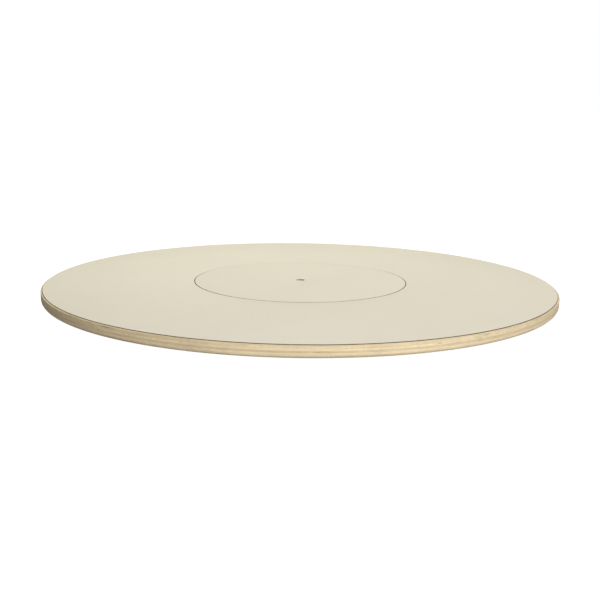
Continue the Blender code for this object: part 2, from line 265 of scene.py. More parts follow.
def turned(name, profile, material, steps, closed=True, thread=None, pitch=1.0):
    """A turned piece. The profile runs down on its outer side."""
    points = [*profile, profile[0]] if closed else list(profile)
    mesh = bpy.data.meshes.new(name)
    edges = [(i, i + 1) for i in range(len(points) - 1)]
    mesh.from_pydata([(radius, 0, height) for radius, height in points], edges, [])
    depth = mesh.attributes.new("thread", "FLOAT", "POINT")
    depth.data.foreach_set("value", thread or [0.0] * len(points))
    piece = new_piece(name, mesh)
    return grow(piece, LATHE, {"Steps": steps, "Pitch": pitch, "Material": material})


def faces_out(piece):
    """True if the piece's faces enclose a positive volume."""
    shape = bmesh.new()
    shape.from_mesh(piece.data)
    volume = shape.calc_volume(signed=True)
    shape.free()
    return volume > 0


def arc(centre_radius, centre_height, size, start_deg, end_deg, count):
    """Points along an arc, from the start angle to the end. 0 degrees points away from the axis."""
    points = []
    for step in range(count + 1):
        angle = math.radians(start_deg + (end_deg - start_deg) * step / count)
        point = (centre_radius + size * math.cos(angle), centre_height + size * math.sin(angle))
        points.append(point)
    return points


# %% [markdown]
# ## Boring holes
# Holes are bored after turning, as on the bench. Each set of cutters is one mesh of cones, which a
# Boolean takes away, and the cutters are thrown away afterwards.

# %% Set out and bore
def places_of(nodes):
    """The axis of each of these upright nodes, as (x, y)."""
    return [(sum(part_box(node), Vector()) / 2).to_2d() for node in nodes]


def own_size(node):
    """An upright round node's radius about its own axis, and its height."""
    axis = places_of([node])[0]
    low, high = heights(node)
    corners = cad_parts[node].data.vertices
    return max((corner.co.to_2d() - axis).length for corner in corners), high - low


def upright(places, low, high):
    """A matrix for each hole that runs straight up from low to high."""
    return [Matrix.Translation((x, y, (low + high) / 2)) for x, y in places]


def cut_away(piece, shape):
    """Cuts a shape out of the piece, and leaves the piece's own material on the cut."""
    mesh = bpy.data.meshes.new("cutter")
    shape.to_mesh(mesh)
    shape.free()
    mesh.materials.append(piece.data.materials[0])
    cutter = new_piece("cutter", mesh)
    cut = piece.modifiers.new("cut", "BOOLEAN")
    cut.object = cutter
    settle(piece)
    bpy.data.objects.remove(cutter)


def bore(piece, holes, depth, low_radius, high_radius=None, sides=40):
    """Bores a round or tapered hole through the piece at each matrix."""
    shape = bmesh.new()
    for hole in holes:
        bmesh.ops.create_cone(
            shape,
            cap_ends=True,
            segments=sides,
            radius1=low_radius,
            radius2=low_radius if high_radius is None else high_radius,
            depth=depth,
            matrix=hole,
        )
    cut_away(piece, shape)


def sink(piece, nodes, surface, head_radius, shank_radius, upwards):
    """Countersinks the piece at 45 degrees for these screws. upwards means driven from below."""
    mouth = head_radius + SINK_MARGIN + PAST
    depth = mouth - shank_radius
    places = places_of(nodes)
    if upwards:
        holes = upright(places, surface - PAST, surface - PAST + depth)
        bore(piece, holes, depth, mouth, shank_radius)
    else:
        holes = upright(places, surface + PAST - depth, surface + PAST)
        bore(piece, holes, depth, shank_radius, mouth)


def numbered(stem, count, digits=1):
    return [f"{stem}_{number:0{digits}d}" for number in range(1, count + 1)]


PAST = 1.0 * MM
CLEAR = 0.3 * MM
SINK_MARGIN = 0.6 * MM
TURNTABLE_SCREWS = numbered("turntable_screw", 6)
BASE_RING_SCREWS = numbered("base_ring_screw", 6)
CENTRE_SCREWS = numbered("centre_screw", 4)
FOOT_SCREWS = numbered("foot_screw", 6)
FEET = numbered("foot", 6)
BALLS = numbered("bearing_ball", 20, digits=2)


# %% [markdown]
# ## Plywood
# Plywood is a stack of veneers glued with the grain of each across the next. On a round edge this
# shows at once: a veneer that runs along the edge is pale and streaky there, and a quarter of the
# way round the same veneer shows its end grain, which is darker. A flat stripe pattern would miss
# that, so the grain is a solid one. Each veneer's streaks are long one way and fine the other two,
# and the edge cuts through them wherever it happens to pass.

# %% Mix plywood
GRAIN_LONG = 7.0
GRAIN_FINE = 420.0
GLUE_DARKENS = 0.88
GLUE_CORE = 0.05 * MM
GLUE_FADE = 0.18 * MM
END_GRAIN_STARTS = 9.0 * MM
END_GRAIN_FULL = 6.5 * MM
# A veneer gap's colour is multiplied by this value, which is painted shade inside the open gap.
GAP_SHADE = 0.38
LACQUER = 0.85


def new_material(name, colour, roughness, metallic=0.0):
    """A material and its tree and shader, with the plain values on the shader's own sockets."""
    material = bpy.data.materials.new(name)
    material.use_nodes = True
    material.diffuse_color = (*colour, 1)
    shader = material.node_tree.nodes["Principled BSDF"]
    shader.inputs["Base Color"].default_value = (*colour, 1)
    shader.inputs["Roughness"].default_value = roughness
    shader.inputs["Metallic"].default_value = metallic
    return material, material.node_tree, shader


def own_place(tree):
    """The point's place on the piece, and its x, y and z."""
    place = wire(tree, "ShaderNodeTexCoord").outputs["Object"]
    return place, wire(tree, "ShaderNodeSeparateXYZ", {0: place}).outputs


def noise(tree, vector, scale, detail=3.0, roughness=0.5):
    feeds = {"Vector": vector, "Scale": scale, "Detail": detail, "Roughness": roughness}
    return wire(tree, "ShaderNodeTexNoise", feeds).outputs["Fac"]


def stretched(tree, place, x, y, z):
    """The place with each direction scaled, for streaks that are long where the scale is small."""
    feeds = {"Vector": place, "Scale": (x, y, z)}
    return wire(tree, "ShaderNodeMapping", feeds).outputs[0]


def span(tree, value, low, high, to_low=0.0, to_high=1.0):
    """The value, mapped from one range to another, and held inside it."""
    feeds = {0: value, 1: low, 2: high, 3: to_low, 4: to_high}
    return wire(tree, "ShaderNodeMapRange", feeds).outputs[0]


def blend(tree, share, a, b, kind="RGBA", mode="MIX"):
    """A mix of two colours or vectors."""
    mix = tree.nodes.new("ShaderNodeMix")
    mix.data_type = kind
    if kind == "RGBA":
        mix.blend_type = mode
    sockets = [s for s in mix.inputs if s.enabled]
    for socket, value in zip(sockets, (share, a, b)):
        if isinstance(value, bpy.types.NodeSocket):
            tree.links.new(value, socket)
        else:
            socket.default_value = value
    return next(s for s in mix.outputs if s.enabled)


def dents(tree, shader, height, distance, strength=1.0):
    """Gives the shader a bump. distance is the height of the bump in metres."""
    feeds = {"Strength": strength, "Distance": distance, "Height": height}
    bump = wire(tree, "ShaderNodeBump", feeds).outputs[0]
    tree.links.new(bump, shader.inputs["Normal"])


def steps_ramp(tree, value, stops):
    """A Color Ramp that holds each (start, grey) until the next."""
    ramp = wire(tree, "ShaderNodeValToRGB", {0: value})
    ramp.color_ramp.interpolation = "CONSTANT"
    marks = ramp.color_ramp.elements
    while len(marks) < len(stops):
        marks.new(1.0)
    for mark, (start, grey) in zip(marks, stops):
        mark.position = start
        mark.color = (grey, grey, grey, 1)
    return wire(tree, "ShaderNodeSeparateColor", {0: ramp.outputs[0]}).outputs[0]


def plywood(name, low, plies, tones, edge, pale, dark):
    """Plywood whose veneers stack up from low. The first veneer's grain runs along X."""
    material, tree, shader = new_material(name, pale, 0.6)
    shader.inputs["Specular IOR Level"].default_value = LACQUER
    place, axis = own_place(tree)
    thickness = sum(plies)
    level = span(tree, axis["Z"], low, low + thickness)
    starts = [sum(plies[:i]) / thickness for i in range(len(plies))]
    along_y = steps_ramp(tree, level, [(start, i % 2) for i, start in enumerate(starts)])
    tone = steps_ramp(tree, level, list(zip(starts, tones)))

    fine_x = stretched(tree, place, GRAIN_LONG, GRAIN_FINE, GRAIN_FINE)
    fine_y = stretched(tree, place, GRAIN_FINE, GRAIN_LONG, GRAIN_FINE)
    fine = noise(tree, blend(tree, along_y, fine_x, fine_y, "VECTOR"), 1.0, 4.0, 0.6)
    broad_x = stretched(tree, place, 3.0, 60.0, 160.0)
    broad_y = stretched(tree, place, 60.0, 3.0, 160.0)
    broad = noise(tree, blend(tree, along_y, broad_x, broad_y, "VECTOR"), 1.0, 3.0)

    squares = [calc(tree, "MULTIPLY", axis[a], axis[a]) for a in "XY"]
    reach = calc(tree, "ADD", *squares)
    across = [calc(tree, "DIVIDE", square, reach) for square in squares]
    ends = blend(tree, along_y, across[0], across[1], "FLOAT")
    out_to = calc(tree, "SQRT", reach)
    on_edge = span(tree, out_to, edge - END_GRAIN_STARTS, edge - END_GRAIN_FULL)
    sheets = span(tree, noise(tree, stretched(tree, place, 5.0, 5.0, 260.0), 1.0), 0.35, 0.65)
    end_grain = calc(tree, "MULTIPLY", calc(tree, "MULTIPLY", ends, on_edge), sheets)

    wood = blend(tree, end_grain, (*pale, 1), (*dark, 1))
    streaks = span(tree, fine, 0.3, 0.7, 0.88, 1.07)
    bands = span(tree, broad, 0.3, 0.7, 0.90, 1.07)
    shade = calc(tree, "MULTIPLY", streaks, bands)
    shade = calc(tree, "MULTIPLY", shade, span(tree, tone, 0.0, 1.0, 0.80, 1.06))
    patches = span(tree, noise(tree, place, 6.0), 0.3, 0.7, 0.95, 1.04)
    shade = calc(tree, "MULTIPLY", shade, patches)

    glue = None
    for start in starts[1:]:
        gap = calc(tree, "ABSOLUTE", calc(tree, "SUBTRACT", level, start))
        line = span(tree, gap, GLUE_CORE / thickness, GLUE_FADE / thickness)
        glue = line if glue is None else calc(tree, "MULTIPLY", glue, line)
    shade = calc(tree, "MULTIPLY", shade, span(tree, glue, 0.0, 1.0, GLUE_DARKENS, 1.0))

    # Open gaps between strips of the inner veneers. The bump sinks them a little, and their colour is
    # darkened as painted shade inside them. The face veneers have no gaps.
    gaps = noise(tree, stretched(tree, place, 20.0, 20.0, 330.0), 1.0, 2.0)
    face_veneer = steps_ramp(tree, level, [(0.0, 1), (starts[1], 0), (starts[-1], 1)])
    gap_sink_and_shade = calc(tree, "MAXIMUM", span(tree, gaps, 0.70, 0.74, 1.0, GAP_SHADE), face_veneer)
    shade = calc(tree, "MULTIPLY", shade, gap_sink_and_shade)

    grey = wire(tree, "ShaderNodeCombineColor", {0: shade, 1: shade, 2: shade}).outputs[0]
    tree.links.new(blend(tree, 1.0, wood, grey, mode="MULTIPLY"), shader.inputs["Base Color"])
    tree.links.new(span(tree, fine, 0.2, 0.8, 0.52, 0.36), shader.inputs["Roughness"])
    relief = calc(tree, "MULTIPLY", calc(tree, "ADD", fine, glue), gap_sink_and_shade)
    dents(tree, shader, relief, 0.05 * MM, 0.7)
    return material


BOARD_PLIES = [share * MM for share in (1.4, 3.2, 2.9, 3.0, 2.9, 3.2, 1.4)]
BOARD_TONES = (0.55, 0.85, 0.75, 0.35, 0.90, 0.80, 0.35)
BASE_EDGE = radii("base_plate")[1]
BASE_LOW, BASE_HIGH = heights("base_plate")
BASE_PLIES = [(BASE_HIGH - BASE_LOW) / 9] * 9
BASE_TONES = (0.7, 0.4, 0.8, 0.3, 0.6, 0.5, 0.8, 0.4, 0.7)
SPACER_LOW, SPACER_HIGH = heights("centre_spacer")
SPACER_PLIES = [(SPACER_HIGH - SPACER_LOW) / 11] * 11
SPACER_TONES = (0.6, 0.4, 0.7, 0.3, 0.8, 0.5, 0.6, 0.2, 0.7, 0.4, 0.6)
SPACER_EDGE = radii("centre_spacer")[1]
WOOD = (0.785, 0.652, 0.400), (0.665, 0.525, 0.275)
BOARD_PLYWOOD = plywood("board_plywood", CORE_LOW, BOARD_PLIES, BOARD_TONES, RIM, *WOOD)
DISC_PLYWOOD = plywood(
    "disc_plywood", DISC_CORE_LOW, BOARD_PLIES, BOARD_TONES, DISC_EDGE, *WOOD
)
BASE_PLYWOOD = plywood("base_plywood", BASE_LOW, BASE_PLIES, BASE_TONES, BASE_EDGE, *WOOD)
SPACER_PLYWOOD = plywood(
    "spacer_plywood", SPACER_LOW, SPACER_PLIES, SPACER_TONES, SPACER_EDGE, *WOOD
)
print(f"board plies add up to {sum(BOARD_PLIES) / MM:.1f} mm")


# %% [markdown]
# ## High-pressure laminate
# The cream sheet is paper: a printed sheet a tenth of a millimetre thick on brown kraft paper, all
# pressed hard in resin. From above it is cream. Wherever it is cut, the brown core shows as a thin
# dark line, which is the line that runs round the rim. So the colour depends on depth: cream for
# the first tenth of a millimetre under the surface, and brown below. Its satin face has a very fine
# pressed texture, and the faint scuffs of dishes pushed about on it.

# %% Press the laminate
DECOR_DEPTH = 0.10 * MM


def pressed_laminate(name, top, cream, kraft):
    """A pressed sheet whose face is at the height top. Below its printed paper it is brown."""
    material, tree, shader = new_material(name, cream, 0.4)
    place, axis = own_place(tree)
    depth = calc(tree, "SUBTRACT", top, axis["Z"])
    cut = span(tree, depth, DECOR_DEPTH, DECOR_DEPTH + 0.03 * MM)
    mottle = span(tree, noise(tree, place, 9.0, 4.0), 0.3, 0.7, 0.985, 1.012)
    speck = span(tree, noise(tree, place, 900.0, 2.0), 0.3, 0.7, 0.988, 1.010)
    shade = calc(tree, "MULTIPLY", mottle, speck)
    grey = wire(tree, "ShaderNodeCombineColor", {0: shade, 1: shade, 2: shade}).outputs[0]
    face = blend(tree, 1.0, (*cream, 1), grey, mode="MULTIPLY")
    layers = stretched(tree, place, 60.0, 60.0, 9000.0)
    paper = blend(tree, noise(tree, layers, 1.0), tuple(0.7 * c for c in kraft) + (1,), (*kraft, 1))
    tree.links.new(blend(tree, cut, face, paper), shader.inputs["Base Color"])

    scuff_one = noise(tree, stretched(tree, place, 6.0, 260.0, 1.0), 1.0, 5.0, 0.7)
    scuff_two = noise(tree, stretched(tree, place, 240.0, 9.0, 1.0), 1.0, 5.0, 0.7)
    scuffs = calc(tree, "MAXIMUM", scuff_one, scuff_two)
    satin = span(tree, scuffs, 0.55, 0.8, 0.36, 0.50)
    rough = blend(tree, cut, satin, 0.62, "FLOAT")
    tree.links.new(rough, shader.inputs["Roughness"])
    dents(tree, shader, noise(tree, place, 1600.0, 2.0), 0.012 * MM, 0.5)
    return material


CREAM = (0.645, 0.604, 0.487)
KRAFT = (0.16, 0.125, 0.075)
RING_LAMINATE = pressed_laminate("ring_laminate", BOARD_TOP, CREAM, KRAFT)
DISC_LAMINATE = pressed_laminate("disc_laminate", DISC_TOP, CREAM, KRAFT)
print(f"the cream goes {DECOR_DEPTH / MM:.2f} mm deep")


# %% [markdown]
# ## The backing sheet
# A board with a laminate on one face only would cup, so a thinner sheet of plain brown paper laminate
# is pressed on the other. It isn't printed, so its fibres and the cloudiness of the resin show.

# %% Press the brown backer
def pressed_backer(brown):
    material, tree, shader = new_material("brown_backer", brown, 0.55)
    place, _ = own_place(tree)
    fibres = noise(tree, stretched(tree, place, 90.0, 700.0, 700.0), 1.0, 5.0, 0.65)
    clouds = noise(tree, place, 11.0, 3.0)
    shade = calc(
        tree, "MULTIPLY", span(tree, fibres, 0.3, 0.7, 0.82, 1.15), span(tree, clouds, 0.3, 0.7, 0.9, 1.1)
    )
    grey = wire(tree, "ShaderNodeCombineColor", {0: shade, 1: shade, 2: shade}).outputs[0]
    colour = blend(tree, 1.0, (*brown, 1), grey, mode="MULTIPLY")
    tree.links.new(colour, shader.inputs["Base Color"])
    tree.links.new(span(tree, fibres, 0.2, 0.8, 0.48, 0.66), shader.inputs["Roughness"])
    dents(tree, shader, fibres, 0.02 * MM, 0.6)
    return material


BROWN_BACKER = pressed_backer((0.24, 0.165, 0.10))
print("sheets pressed:", RING_LAMINATE.name, DISC_LAMINATE.name, BROWN_BACKER.name)


# %% [markdown]
# ## Metals, nylon and rubber
# Turned aluminium carries fine rings from the tool, so its streaks depend on the distance from the
# axis. Zinc plate is blotchy on a scale of millimetres. Steel balls are ground and nearly clean.
# Moulded nylon and rubber have only a faint grain.

# %% Finish the hardware
def turned_aluminium():
    material, tree, shader = new_material("turned_aluminium", (0.75, 0.76, 0.77), 0.34, 1.0)
    place, axis = own_place(tree)
    flat = wire(tree, "ShaderNodeCombineXYZ", {"X": axis["X"], "Y": axis["Y"]}).outputs[0]
    reach = wire(tree, "ShaderNodeVectorMath", {0: flat}, operation="LENGTH").outputs["Value"]
    feeds = {"X": calc(tree, "MULTIPLY", reach, 2600.0), "Z": calc(tree, "MULTIPLY", axis["Z"], 2600.0)}
    rings = noise(tree, wire(tree, "ShaderNodeCombineXYZ", feeds).outputs[0], 1.0, 3.0)
    smears = noise(tree, place, 24.0, 3.0)
    tree.links.new(span(tree, smears, 0.3, 0.7, 0.27, 0.44), shader.inputs["Roughness"])
    bright, dull = (0.80, 0.81, 0.82, 1), (0.66, 0.67, 0.68, 1)
    tree.links.new(blend(tree, rings, bright, dull), shader.inputs["Base Color"])
    dents(tree, shader, rings, 0.008 * MM, 0.7)
    return material


def grained(name, colour, other, roughness, metallic, scale, grain):
    """A material that wanders between two colours, with a fine grain. roughness is a range."""
    material, tree, shader = new_material(name, colour, roughness[0], metallic)
    place, _ = own_place(tree)
    blotches = noise(tree, place, scale, 4.0)
    tree.links.new(
        blend(tree, span(tree, blotches, 0.35, 0.65), (*colour, 1), (*other, 1)),
        shader.inputs["Base Color"],
    )
    tree.links.new(span(tree, blotches, 0.3, 0.7, *roughness), shader.inputs["Roughness"])
    dents(tree, shader, noise(tree, place, 20 * scale, 2.0), grain, 0.5)
    return material


ALUMINIUM = turned_aluminium()
ZINC = grained("zinc_plate", (0.66, 0.66, 0.62), (0.50, 0.51, 0.53), (0.24, 0.42), 1.0, 160, 0.01 * MM)
BALL_STEEL = grained(
    "ground_steel", (0.72, 0.72, 0.72), (0.62, 0.62, 0.63), (0.07, 0.15), 1.0, 300, 0.001 * MM
)
NYLON = grained("nylon", (0.84, 0.83, 0.77), (0.78, 0.76, 0.69), (0.42, 0.58), 0.0, 60, 0.02 * MM)
RUBBER = grained("rubber", (0.022, 0.022, 0.023), (0.045, 0.044, 0.043), (0.68, 0.88), 0.0, 90, 0.05 * MM)
print("materials:", len(bpy.data.materials))


# %% [markdown]
# ## The plywood edge
# The rim is routed: a small round takes off the corner under the laminate and a larger one the
# corner below, where fingers pull. Sanding then leaves each glue line a hair below the veneers
# beside it, because the veneers spring back. That relief is real geometry, a few hundredths of a
# millimetre deep, so the bands are still there when the light rakes along them.

# %% Turn the plywood ring and disc
BOARD_STEPS = 384
TOP_ROUND = 2.25 * MM
LOW_ROUND = 6.0 * MM
GLUE_SINK = 0.07 * MM
GLUE_HALF_WIDTH = 0.12 * MM
RIM_LEVELS = 44
ROUND_STEP_DEG = 10


def rim_radius(height):
    """The routed rim's radius at a height, before the glue lines."""
    above = height - (CORE_HIGH - TOP_ROUND)
    below = BOARD_LOW + LOW_ROUND - height
    if above > 0:
        return RIM - TOP_ROUND + math.sqrt(max(0.0, TOP_ROUND**2 - above**2))
    if below > 0:
        return RIM - LOW_ROUND + math.sqrt(max(0.0, LOW_ROUND**2 - below**2))
    return RIM


def glue_heights():
    """The height of each glue line in the board, from the bottom up."""
    return [CORE_LOW + sum(BOARD_PLIES[:count]) for count in range(1, len(BOARD_PLIES))]


def rim_profile():
    """The rim from top to bottom: smooth stretches, with a small V at each glue line."""
    thickness = CORE_HIGH - CORE_LOW
    levels = {CORE_HIGH - thickness * step / RIM_LEVELS for step in range(RIM_LEVELS + 1)}
    for angle in range(0, 91, ROUND_STEP_DEG):
        levels.add(CORE_HIGH - TOP_ROUND * (1 - math.cos(math.radians(angle))))
    lines = glue_heights()
    clear = [h for h in levels if all(abs(h - line) > 2 * GLUE_HALF_WIDTH for line in lines)]
    points = [(rim_radius(h), h) for h in clear]
    for line in lines:
        points.append((rim_radius(line + GLUE_HALF_WIDTH), line + GLUE_HALF_WIDTH))
        points.append((rim_radius(line) - GLUE_SINK, line))
        points.append((rim_radius(line - GLUE_HALF_WIDTH), line - GLUE_HALF_WIDTH))
    return sorted(points, key=lambda point: -point[1])


plywood_ring = turned(
    "plywood_ring",
    [*rim_profile(), (RING_BORE, CORE_LOW), (RING_BORE, CORE_HIGH)],
    BOARD_PLYWOOD,
    BOARD_STEPS,
)
plywood_disc = turned(
    "plywood_disc",
    [
        (DISC_EDGE, DISC_CORE_HIGH), (DISC_EDGE, DISC_CORE_LOW),
        (PIVOT_HOLE, DISC_CORE_LOW), (PIVOT_HOLE, DISC_CORE_HIGH),
    ],
    DISC_PLYWOOD,
    BOARD_STEPS,
)
print("faces point out:", faces_out(plywood_ring), faces_out(plywood_disc))


# %% [markdown]
# ## The laminate sheets
# A trimmer leaves the sheet's outer edge at 45 degrees, which is comfortable to the hand and shows
# the brown core. At the seam the arris is only broken with a file, so the running gap stays a fine
# dark line. Real faces make both: the slope catches the light in a way that a painted line can't.
# The still disc stands a hair above the ring, so the near half of the seam looks darker than the
# far half, where the disc's own edge hides the gap.

# %% Turn the laminate
SEAM_BREAK = 0.15 * MM
ARRIS_SOFTEN = 0.12 * MM

laminate_edge = radii("turntable_laminate")[1]
laminate_face = laminate_edge - (BOARD_TOP - LAMINATE_LOW)

laminate_ring = turned(
    "laminate_ring",
    [
        (laminate_face - ARRIS_SOFTEN, BOARD_TOP),
        (laminate_face + 0.5 * ARRIS_SOFTEN, BOARD_TOP - 0.5 * ARRIS_SOFTEN),
        (laminate_edge, LAMINATE_LOW),
        (RING_BORE, LAMINATE_LOW),
        *arc(RING_BORE + SEAM_BREAK, BOARD_TOP - SEAM_BREAK, SEAM_BREAK, 180, 90, 5),
    ],
    RING_LAMINATE,
    BOARD_STEPS,
)
laminate_disc = turned(
    "laminate_disc",
    [
        *arc(DISC_EDGE - SEAM_BREAK, DISC_TOP - SEAM_BREAK, SEAM_BREAK, 90, 0, 5),
        (DISC_EDGE, DISC_LAMINATE_LOW),
        (PIVOT_HOLE, DISC_LAMINATE_LOW),
        *arc(PIVOT_HOLE + SEAM_BREAK, DISC_TOP - SEAM_BREAK, SEAM_BREAK, 180, 90, 5),
    ],
    DISC_LAMINATE,
    BOARD_STEPS,
)
print("faces point out:", faces_out(laminate_ring), faces_out(laminate_disc))


# %% [markdown]
# ## The backers
# The sheet under each board is trimmed with it, so the ring's backer ends on the same routed round
# as the plywood above it. Its outer edge is a short slope that carries the round on.

# %% Turn the backers
def backer(name, node, bore_radius, edge_low, edge_high):
    low, high = heights(node)
    profile = [(edge_high, high), (edge_low, low), (bore_radius, low), (bore_radius, high)]
    return turned(name, profile, BROWN_BACKER, BOARD_STEPS)


backer_ring = backer(
    "backer_ring", "turntable_backer", RING_BORE, rim_radius(BOARD_LOW), rim_radius(BACKER_TOP)
)
backer_disc = backer("backer_disc", "centre_backer", PIVOT_HOLE, DISC_EDGE, DISC_EDGE)
print("faces point out:", faces_out(backer_ring), faces_out(backer_disc))


# %% [markdown]
# ## The swivel
# Two turned aluminium rings hold the balls between them in facing grooves. The balls would bunch
# up if they were loose, so a thin nylon strip with a round pocket for each keeps them apart.

# %% Turn the races
SWIVEL_STEPS = 240
GROOVE_SIZE = 3.3 * MM
EDGE_EASE = 0.5 * MM


def race(name, node, side):
    """A race ring with a round groove. side is 1 if the balls are outside it and -1 if inside."""
    near, far = radii(node)
    low, high = heights(node)
    ball_low, ball_high = heights("ball_cage")
    middle = (ball_low + ball_high) / 2
    orbit = places_of(["bearing_ball_01"])[0].length
    face = far if side > 0 else near
    back = near if side > 0 else far
    lean = math.degrees(math.acos(abs(orbit - face) / GROOVE_SIZE))
    if side > 0:
        groove = arc(orbit, middle, GROOVE_SIZE, 180 - lean, 180 + lean, 14)
        profile = [
            (face, high), *groove, (face, low),
            (back + EDGE_EASE, low), (back, low + EDGE_EASE),
            (back, high - EDGE_EASE), (back + EDGE_EASE, high),
        ]
    else:
        groove = arc(orbit, middle, GROOVE_SIZE, -lean, lean, 14)
        profile = [
            (back - EDGE_EASE, high), (back, high - EDGE_EASE),
            (back, low + EDGE_EASE), (back - EDGE_EASE, low),
            (face, low), *groove, (face, high),
        ]
    return turned(name, profile, ALUMINIUM, SWIVEL_STEPS)


SWIVEL_SHANK = 1.9 * MM
CENTRE_SHANK = 2.25 * MM
SWIVEL_HEAD, SWIVEL_SCREW_LENGTH = own_size(BASE_RING_SCREWS[0])
CENTRE_HEAD, CENTRE_SCREW_LENGTH = own_size(CENTRE_SCREWS[0])
FOOT_HEAD, FOOT_SCREW_LENGTH = own_size(FOOT_SCREWS[0])


def bore_through(piece, nodes, shank_radius):
    """Bores a clearance hole for each of these screws, as long as the screw."""
    low, high = heights(nodes[0])
    holes = upright(places_of(nodes), low - PAST, high + PAST)
    bore(piece, holes, high - low + 2 * PAST, shank_radius + CLEAR)


inner_race = race("inner_race", "swivel_inner_ring", 1)
bore_through(inner_race, TURNTABLE_SCREWS, SWIVEL_SHANK)
inner_low = heights("swivel_inner_ring")[0]
sink(inner_race, TURNTABLE_SCREWS, inner_low, SWIVEL_HEAD, SWIVEL_SHANK + CLEAR, upwards=True)

outer_race = race("outer_race", "swivel_outer_ring", -1)
bore_through(outer_race, BASE_RING_SCREWS, SWIVEL_SHANK)
outer_high = heights("swivel_outer_ring")[1]
sink(outer_race, BASE_RING_SCREWS, outer_high, SWIVEL_HEAD, SWIVEL_SHANK + CLEAR, upwards=False)
print("faces point out:", faces_out(inner_race), faces_out(outer_race))


# %% [markdown]
# The screws reach past the rings into the wood, so the same holes go on through the ring's backer
# and plywood. A hole that nobody sees still matters: without it two pieces would fill one space.

# %% Bore the ring for its screws
for sheet in (plywood_ring, backer_ring):
    bore_through(sheet, TURNTABLE_SCREWS, SWIVEL_SHANK)
for sheet in (plywood_disc, backer_disc):
    bore_through(sheet, CENTRE_SCREWS, CENTRE_SHANK)
for sheet in (plywood_ring, backer_ring, plywood_disc, backer_disc):
    print(sheet.name, "bored,", len(sheet.data.polygons), "faces")


# %% [markdown]
# ## The cage and the balls
# The strip is moulded nylon with a round pocket through it for each ball. The balls stand in the
# pockets with a little play. One ball is made, and the circle tree sets out the rest.

# %% Make the cage and the balls
CAGE_STEPS = 160
POCKET_RADIUS = 3.4 * MM
CAGE_EASE = 0.2 * MM


def set_out(name, pattern, nodes, height, material):
    """Copies of a pattern piece at these evenly spaced nodes. The pattern itself is used up."""
    first = places_of(nodes)[0]
    values = {
        "Count": len(nodes),
        "Orbit": first.length,
        "Height": height,
        "First Angle": math.atan2(first.y, first.x),
        "Material": material,
    }
    pattern.name = name
    return grow(pattern, CIRCLE, values)


def make_cage():
    near, far = radii("ball_cage")
    low, high = heights("ball_cage")
    profile = [
        (far - CAGE_EASE, high), (far, high - CAGE_EASE), (far, low + CAGE_EASE),
        (far - CAGE_EASE, low), (near + CAGE_EASE, low), (near, low + CAGE_EASE),
        (near, high - CAGE_EASE), (near + CAGE_EASE, high),
    ]
    strip = turned("ball_strip", profile, NYLON, CAGE_STEPS)
    sideways = Matrix.Rotation(math.pi / 2, 4, "Y")
    pockets = []
    for x, y in places_of(BALLS):
        outwards = Matrix.Rotation(math.atan2(y, x), 4, "Z")
        pockets.append(Matrix.Translation((x, y, (low + high) / 2)) @ outwards @ sideways)
    bore(strip, pockets, 4 * (far - near), POCKET_RADIUS)
    return strip


def make_balls():
    low, high = heights(BALLS[0])
    shape = bmesh.new()
    bmesh.ops.create_icosphere(shape, subdivisions=4, radius=(high - low) / 2)
    mesh = bpy.data.meshes.new("ball")
    shape.to_mesh(mesh)
    shape.free()
    return set_out("balls", new_piece("ball", mesh), BALLS, (low + high) / 2, BALL_STEEL)


ball_strip = make_cage()
balls = make_balls()
print("balls:", len(BALLS), "faces:", len(balls.data.polygons))


# %% [markdown]
# ## Screws
# A screw is a turned blank with a thread rolled into it and a cross pressed into its head. The
# lathe tree does the thread: the profile carries how deep it is cut at each height, so it fades in
# below the plain shank and runs out at the point. The cross is two tapered blades, taken away one
# after the other. One screw is made for each size, and then set out on its circle.

# %% Make the screws
SCREW_STEPS = 24
THREAD_PITCH = 1.6 * MM
THREAD_DEPTH = 0.5 * MM
THREAD_STEP = THREAD_PITCH / 8
PLAIN_SHANK = 5.0 * MM
POINT_LENGTH = 3.0 * MM
PAN_HEIGHT = 2.2 * MM
HEAD_LAND = 0.12 * MM
PAN_ROUND = 0.45
CROSS_LENGTH = 0.62
CROSS_WIDTH = 0.16
CROSS_DEPTH = 0.48
CROSS_DRAFT = 0.55


def shank_points(shank_radius, start, end):
    """The shank's profile and thread depths, down from start to the point at end."""
    thread_top = start - PLAIN_SHANK
    count = round((thread_top - end) / THREAD_STEP)
    points, depths = [(shank_radius, start)], [0.0]
    for step in range(count):
        height = thread_top - step * THREAD_STEP
        taper = min(1.0, (height - end) / POINT_LENGTH)
        fade = min(1.0, step / 8)
        points.append((shank_radius * taper, height))
        depths.append(THREAD_DEPTH * fade * taper)
    return [*points, (0, end)], [*depths, 0.0]


def press_cross(screw, head_radius):
    """Presses a cross recess into the screw's head, whose top is at height 0.

    The cross is sized as shares of the head's radius.
    """
    length = CROSS_LENGTH * head_radius
    width = CROSS_WIDTH * head_radius
    depth = CROSS_DEPTH * head_radius
    for _ in range(2):
        blade = bmesh.new()
        bmesh.ops.create_cube(blade, size=2)
        for corner in blade.verts:
            x, y, z = corner.co
            draft = 1.0 if z > 0 else CROSS_DRAFT
            corner.co = (x * length * draft, y * width * draft, PAST if z > 0 else -depth)
        cut_away(screw, blade)
        screw.data.transform(Matrix.Rotation(math.pi / 2, 4, "Z"))


